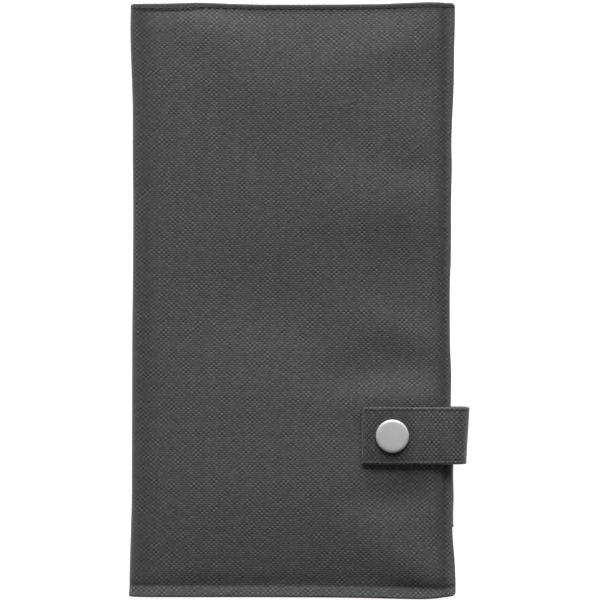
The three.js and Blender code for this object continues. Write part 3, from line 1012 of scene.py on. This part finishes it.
def soften(profile, r=0.12, steps=3):
    """Rounds the corners of a profile."""
    p = [np.array(q, float) for q in profile]
    out = [p[0]]
    for a, b, c in zip(p[:-2], p[1:-1], p[2:]):
        ab, cb = a - b, c - b
        la, lc = np.linalg.norm(ab), np.linalg.norm(cb)
        d = min(r, la * 0.45, lc * 0.45)
        s, e = b + ab / la * d, b + cb / lc * d
        for t in np.linspace(0, 1, steps + 1):
            out.append((1 - t) ** 2 * s + 2 * t * (1 - t) * b + t * t * e)
    out.append(p[-1])
    return [tuple(q) for q in out]

# ===================================================================== pieces
M = lambda *v: tuple(float(c) * MM for c in v)
FRONT_FOLD = ("spine", "front", M(XS, 0, THICK - 3.2), M(XS + 3.2, 0, THICK))
BACK_FOLD = ("back", "spine", M(XS + 3.2, 0, 0), M(XS, 0, 3.2))
FRONT_LIN_FOLD = ("spine", "front", M(LIN_X, 0, LIN_Z - 2.6), M(LIN_X + 2.6, 0, LIN_Z))
BACK_LIN_FOLD = ("back", "spine", M(LIN_X + 2.6, 0, THICK - LIN_Z), M(LIN_X, 0, THICK - LIN_Z + 2.6))
LOW_FOLD = ("back", "strap_side", M(SIDE_X - 2.9, 0, TAIL_Z), M(SIDE_X, 0, TAIL_Z + 2.9))
UP_FOLD = ("strap_side", "strap_flap", M(SIDE_X, 0, FLAP_Z - 4.4), M(SIDE_X - 4.4, 0, FLAP_Z))


def phase(start):
    """Puts a run's needle holes where the cloth is pulled down."""
    return (STITCH / 2 - start - 0.125) % STITCH


# --- outer cloth, one piece for each cover with its half of the spine
front_cloth = shell("front_cover_cloth", True, RIM_F, 1.5, 0.0)
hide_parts("front_outer_fabric", "spine_outer_fabric")
back_cloth = shell("back_cover_cloth", False, RIM_B, 1.95, 0.55)
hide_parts("back_outer_fabric", "spine_outer_fabric")

threads = []
for front, fold, top_s, pull in ((True, FRONT_FOLD, TOP_S, 0.0), (False, BACK_FOLD, TOP_S + 0.4, 0.55)):
    side = "front" if front else "back"
    y = np.arange(-HALF_H + 1.6, HALF_H - 1.6, 0.35)
    x = XR - (right_stitch(y) if front else 3.0)
    runs = [("right", x, y, phase(y[0]))]
    x = np.arange(XS + 2.0, XR - 1.6, 0.35)
    runs.append(("top", x, np.full_like(x, HALF_H - top_s), phase(x[0])))
    runs.append(("bottom", x, np.full_like(x, -HALF_H + BOTTOM_S), phase(x[0])))
    for word, xs, ys, ph in runs:
        p, n = line_on_shell(front, xs + 0 * ys, ys + 0 * xs, pull=pull)
        t = thread_run(f"{side}_{word}_seam_thread", p, n, phase=ph, sink=0.16)
        threads.append((t, fold))

# --- lining
front_lining = lining_sheet("front_lining_cloth", True)
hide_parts("front_lining", "spine_lining")
back_lining = lining_sheet("back_lining_cloth", False)
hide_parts("back_lining", "spine_lining")
threads.append((lining_thread("front_lining_thread", True), FRONT_LIN_FOLD))
threads.append((lining_thread("back_lining_thread", False), BACK_LIN_FOLD))

for ob, fold in ((front_cloth, FRONT_FOLD), (back_cloth, BACK_FOLD), (front_lining, FRONT_LIN_FOLD), (back_lining, BACK_LIN_FOLD), *threads):
    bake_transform(ob)

# --- pockets
LZF, LZB = LIN_Z, THICK - LIN_Z
pockets = []


def pocket(node, x0, x1, y0, y1, z_base, face_z, up, width, flange, body, seed, belly=0.0):
    depth = abs(face_z - z_base) - 0.42
    ob, edge, sgn = patch(node + "_cloth", x0, x1, y0, y1, z_base, depth, up, width, flange=flange, seed=seed, belly=belly)
    b, bt = binding(node + "_binding", edge, sgn)
    t = patch_thread(node + "_seam_thread", x0, x1, y0, y1 - 5, z_base, up, flange=flange)
    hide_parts(node)
    for o in (ob, b, bt, t):
        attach(o, body)
    pockets.append(ob)


lo, hi = mm("passport_pocket")
pocket("passport_pocket", lo[0], hi[0], lo[1], hi[1], LZF, lo[2] + 0.35, False, 4.5, 2.4, "front", 1.0, belly=0.8)
for k in (1, 2, 3):
    lo, hi = mm(f"card_slot_{k}")
    pocket(f"card_slot_{k}", lo[0], hi[0], lo[1] + 1.2 * (3 - k), hi[1], LZF - 0.46 * (k - 1), lo[2], False, 2.2, 2.0, "front", 2.0 + k)
lo, hi = mm("ticket_pocket")
pocket("ticket_pocket", lo[0], hi[0], lo[1] + 1.6, hi[1], LZB, hi[2], True, 2.2, 1.5, "back", 7.0)
lo, hi = mm("boarding_pass_pocket")
pocket("boarding_pass_pocket", lo[0] + 2.6, hi[0] - 2.6, lo[1] + 3.2, hi[1], LZB + 1.62, hi[2], True, 2.2, 1.6, "back", 8.0)

# --- pen loop
lo, hi = mm("pen_loop")


def sleeve(name, lo, hi, wall=0.6):
    cx, cz = (lo[0] + hi[0]) / 2, (lo[2] + hi[2]) / 2
    hx, hz = (hi[0] - lo[0]) / 2, (hi[2] - lo[2]) / 2
    k = 84
    ys = spaced(lo[1], hi[1], 0.3, 0.9, 3.0, 3.0)
    ang = np.arange(k) / k * 2 * math.pi
    A, Y = np.meshgrid(ang, ys, indexing="ij")
    d = np.minimum(Y - lo[1], hi[1] - Y)
    ex = 0.62
    c, s = np.cos(A), np.sin(A)
    X = cx + hx * np.sign(c) * np.abs(c) ** ex
    Z = cz + hz * np.sign(s) * np.abs(s) ** ex
    inward = 0.14 * np.exp(-((d - 1.8) / 0.45) ** 2) + 0.30 * (1 - np.sqrt(np.clip(1 - (1 - np.clip(d / 0.5, 0, 1)) ** 2, 0, 1)))
    inward = inward + 0.10 * (1 + np.sin(Y * 0.35 + 2 * A)) * smooth(d / 5)
    scale_x, scale_z = 1 - inward / hx, 1 - inward / hz
    X = cx + (X - cx) * scale_x
    Z = cz + (Z - cz) * scale_z
    dx = np.roll(X, -1, 0) - np.roll(X, 1, 0)
    dz = np.roll(Z, -1, 0) - np.roll(Z, 1, 0)
    per = np.concatenate([[0], np.cumsum(np.hypot(np.diff(X[:, 5]), np.diff(Z[:, 5])))])
    P = np.stack([X, Y, Z], -1).reshape(-1, 3)
    m = len(ys)
    faces = []
    for i in range(k):
        for j in range(m - 1):
            a, b = i * m + j, ((i + 1) % k) * m + j
            faces.append((a, a + 1, b + 1, b))
    uv = np.stack([np.repeat(per, m), np.tile(ys, k)], -1)
    ob = make(name, P, faces, uv, STRAP_FINE, solid=wall)
    runs = []
    for q, yy in enumerate((lo[1] + 1.8, hi[1] - 1.8)):
        j = int(np.argmin(np.abs(ys - yy)))
        n = np.stack([dz[:, j], 0 * dz[:, j], -dx[:, j]], -1)
        n = n / np.linalg.norm(n, axis=1)[:, None]
        p = np.stack([X[:, j], np.full(k, yy), Z[:, j]], -1)
        out = np.sign(((p - [cx, yy, cz]) * n).sum(1).mean())
        runs.append(thread_run(f"{name}_thread_{q + 1}", np.vstack([p, p[:1]]), np.vstack([n, n[:1]]) * out, stitch=1.9, gap=0.5, dia=0.34))
    return ob, runs


loop, loop_threads = sleeve("pen_loop_sleeve", lo, hi)
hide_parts("pen_loop")
for o in (loop, *loop_threads):
    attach(o, "back")

# --- strap
low_strap = strap_piece("strap_lower", False)
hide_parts("strap_anchor", "strap_side_outer", "strap_side_inner")
up_strap = strap_piece("strap_upper", True)
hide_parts("strap_flap_outer", "strap_flap_inner", "strap_side_outer", "strap_side_inner")
for ob, fold in ((low_strap, LOW_FOLD), (up_strap, UP_FOLD),
                 *[(o, LOW_FOLD) for o in strap_thread("strap_lower_thread", False)],
                 *[(o, UP_FOLD) for o in strap_thread("strap_upper_thread", True)],
                 *[(o, UP_FOLD) for o in strap_thread("strap_upper_inner_thread", True, outer=False)]):
    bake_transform(ob)

# --- press stud
r_cap = float(cap_hi[0] - cap_lo[0]) / 2
zt = float(cap_hi[2])
cx, cy = float(CAP[0]), float(CAP[1])
cap_profile = [(0.0, zt), (2.0, zt - 0.006), (4.0, zt - 0.03), (5.2, zt - 0.075), (5.75, zt - 0.16), (6.12, zt - 0.34),
               (r_cap - 0.04, zt - 0.62), (r_cap, zt - 0.92), (r_cap - 0.08, zt - 1.16), (r_cap - 0.45, zt - 1.30),
               (5.0, zt - 1.22), (2.2, zt - 1.20), (1.9, zt - 1.30), (1.9, float(cap_lo[2]) + 0.35), (1.55, float(cap_lo[2])), (0.0, float(cap_lo[2]))]
cap = turned("snap_cap_button", soften(cap_profile, 0.16), (cx, cy), METAL, 128)
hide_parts("snap_cap")
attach(cap, "strap_flap")
slo, shi = mm("snap_socket")
z0, z1 = float(slo[2]), float(shi[2])
socket_profile = [(2.4, z1), (5.0, z1), (5.3, z1 - 0.18), (5.3, z1 - 0.5), (4.6, z1 - 0.72), (3.95, z0 + 0.30), (3.6, z0 + 0.06), (3.2, z0),
                  (2.75, z0 + 0.10), (2.65, z0 + 0.34), (2.65, z0 + 0.44), (3.04, z0 + 0.44), (3.04, z0 + 0.96), (2.4, z0 + 0.96)]
socket = turned("snap_socket_ring", soften(socket_profile + [socket_profile[0]], 0.07, 2)[:-1], (cx, cy), DARK_METAL, 96, closed=True)
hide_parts("snap_socket")
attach(socket, "strap_flap")
tlo, thi = mm("snap_stud")
z0, z1 = float(tlo[2]), float(thi[2])
stud_profile = [(0.0, z1), (1.35, z1), (1.85, z1 - 0.22), (2.05, z1 - 0.62), (1.95, z1 - 0.98), (1.66, z1 - 1.30), (1.66, z0 + 0.62), (2.0, z0 + 0.42),
                (3.7, z0 + 0.36), (4.25, z0 + 0.27), (4.5, z0 + 0.12), (4.42, z0), (0.0, z0)]
stud = turned("snap_stud_post", soften(stud_profile, 0.08, 2), (cx, cy), DARK_METAL, 96)
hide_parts("snap_stud")
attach(stud, "front")

# --- nodes that keep their shape
for node, mat in (("front_stiffener", BOARD), ("back_stiffener", BOARD), ("snap_post", DARK_METAL), ("snap_spring", METAL)):
    ob = bpy.data.objects.get(node) or next(o for o in bpy.data.objects if o.get("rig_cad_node") == node)
    for s in ob.material_slots:
        s.link = "OBJECT"
        s.material = mat

# ============================================================ floor and light
floor = bpy.data.meshes.new("floor")
floor.from_pydata([(-3, -3, -0.0002), (3, -3, -0.0002), (3, 3, -0.0002), (-3, 3, -0.0002)], [], [(0, 1, 2, 3)])
floor_ob = bpy.data.objects.new("floor", floor)
bpy.context.scene.collection.objects.link(floor_ob)
fm = Nodes("paper")
fm.bsdf.inputs["Base Color"].default_value = (0.70, 0.70, 0.70, 1)
fm.bsdf.inputs["Roughness"].default_value = 0.9
fm.bsdf.inputs["Emission Color"].default_value = (1, 1, 1, 1)
fm.bsdf.inputs["Emission Strength"].default_value = 0.88
floor.materials.append(fm.mat)

world = bpy.data.worlds.new("studio")
bpy.context.scene.world = world
world.use_nodes = True
bg = world.node_tree.nodes["Background"]
bg.inputs[0].default_value = (1, 1, 1, 1)
bg.inputs[1].default_value = 0.19


def softbox(name, place, target, size, power):
    light = bpy.data.lights.new(name, "AREA")
    light.shape = "RECTANGLE"
    light.size, light.size_y = size
    light.energy = power
    ob = bpy.data.objects.new(name, light)
    ob.location = place
    ob.rotation_euler = (Vector(target) - Vector(place)).to_track_quat("-Z", "Y").to_euler()
    bpy.context.scene.collection.objects.link(ob)
    return ob


softbox("key", (0.0, 2.402, 0.995), (0, 0, 0), (2.4, 1.63), 158.0)

cam_data = bpy.data.cameras.new("camera")
cam_data.lens = 245.6
cam_data.sensor_width = 36
cam_data.clip_start = 0.05
cam_data.clip_end = 20
cam = bpy.data.objects.new("camera", cam_data)
cam.location = (0.0031, 0.0001, 1.6)
cam.rotation_euler = (0, 0, 0)
bpy.context.scene.collection.objects.link(cam)
bpy.context.scene.camera = cam
bpy.context.scene.view_settings.view_transform = "Standard"
bpy.context.scene.view_settings.look = "None"

bpy.context.view_layer.update()
